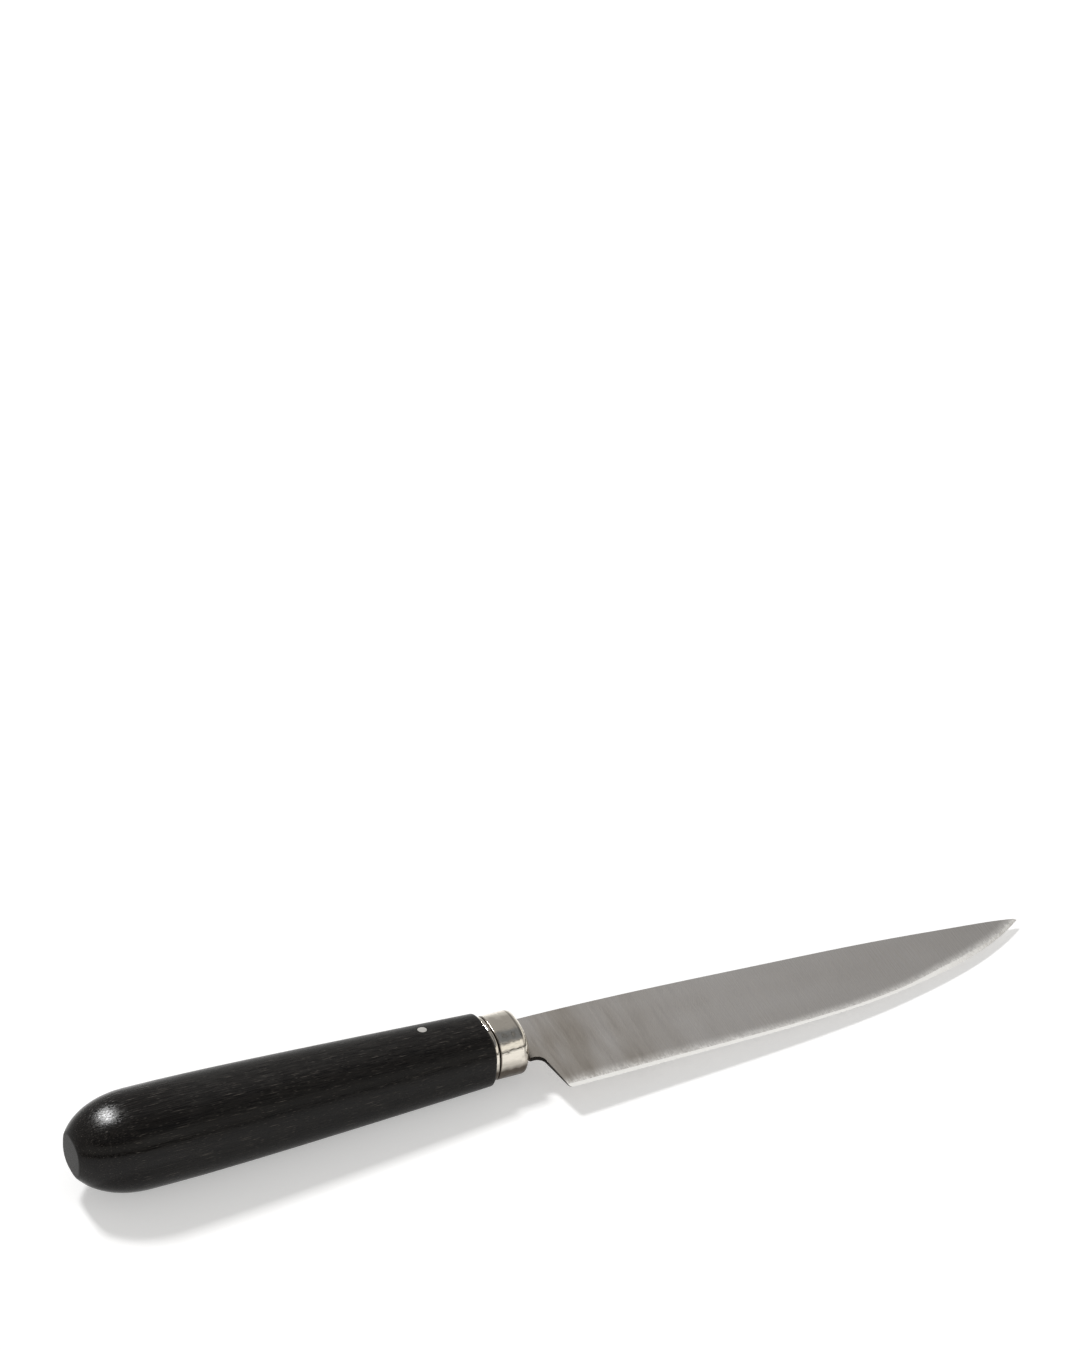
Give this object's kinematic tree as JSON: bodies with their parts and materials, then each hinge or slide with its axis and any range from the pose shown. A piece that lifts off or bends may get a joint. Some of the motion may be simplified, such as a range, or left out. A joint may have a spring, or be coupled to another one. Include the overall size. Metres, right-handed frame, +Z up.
{
  "type": "paring knife",
  "caption": "Small kitchen knife with a pointed, flat-ground steel blade, a polished ferrule and a round-ended black wooden handle, lying on its side.",
  "frame": {"origin": "on the table under the middle of the knife's bounding box", "axes": "+X along the knife from the butt to the point, +Y towards the spine, +Z up, with the knife lying on its side"},
  "size_m": [0.224, 0.0283, 0.0199],
  "materials": {
    "blade_steel": "satin",
    "black_wood": "satin",
    "polished_nickel": "polished",
    "pin_metal": "satin",
    "cement": "matte"
  },
  "bodies": {
    "root": {"blade": "blade_steel", "handle": "black_wood", "ferrule": "polished_nickel", "ferrule_ring": "polished_nickel", "handle_pin": "pin_metal", "tang_bedding": "cement", "neck_seal": "cement"}
  },
  "joints": []
}
